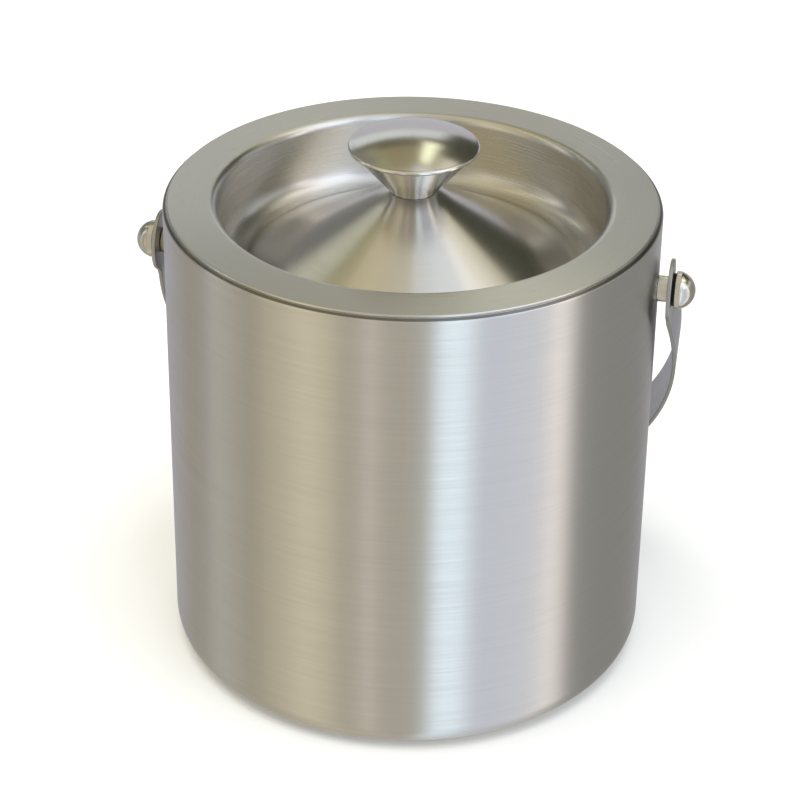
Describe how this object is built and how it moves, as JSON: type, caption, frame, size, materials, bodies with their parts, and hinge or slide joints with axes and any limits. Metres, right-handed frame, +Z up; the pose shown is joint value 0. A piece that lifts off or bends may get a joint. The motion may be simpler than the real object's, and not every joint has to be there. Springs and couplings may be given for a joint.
{
  "type": "ice bucket",
  "caption": "Cylindrical double-walled brushed-steel ice bucket with a sunken lift-off lid, a flared knob and a swinging flat-strap bail on dome-nut pivots.",
  "frame": {"origin": "middle of the flat base, on the face that it stands on", "axes": "+Z up out of the mouth, +X along the bail's pivot axis, +Y towards the side where the bail hangs"},
  "size_m": [0.2186, 0.2078, 0.2169],
  "materials": {
    "brushed_wall": "satin",
    "satin_liner": "satin",
    "spun_lid": "satin",
    "knob_steel": "satin",
    "strap_steel": "satin",
    "turned_steel": "satin",
    "zinc_screw": "satin",
    "polished_nickel": "polished",
    "dark_washer": "satin"
  },
  "bodies": {
    "bucket": {"outer_shell": "brushed_wall", "inner_liner": "satin_liner", "right_pivot_bolt": "zinc_screw", "right_lock_washer": "zinc_screw", "right_backing_plate": "zinc_screw", "right_pivot_spacer": "polished_nickel", "right_strap_washer": "dark_washer", "right_dome_nut": "polished_nickel", "left_pivot_bolt": "zinc_screw", "left_lock_washer": "zinc_screw", "left_backing_plate": "zinc_screw", "left_pivot_spacer": "polished_nickel", "left_strap_washer": "dark_washer", "left_dome_nut": "polished_nickel"},
    "bail": {"bail_strap": "strap_steel"},
    "lid": {"lid_skin": "spun_lid", "knob_cone": "knob_steel", "knob_cap": "knob_steel", "knob_insert": "turned_steel", "knob_screw": "zinc_screw", "knob_washer": "zinc_screw"}
  },
  "joints": [
    {"name": "bail_swing", "type": "hinge", "parent": "bucket", "child": "bail", "pos_m": [0, 0, 0.1624], "axis": [1, 0, 0], "range_deg": [0, 290]},
    {"name": "lid_lift", "type": "slide", "parent": "bucket", "child": "lid", "axis": [0, 0, 1], "range_m": [0, 0.05]}
  ]
}
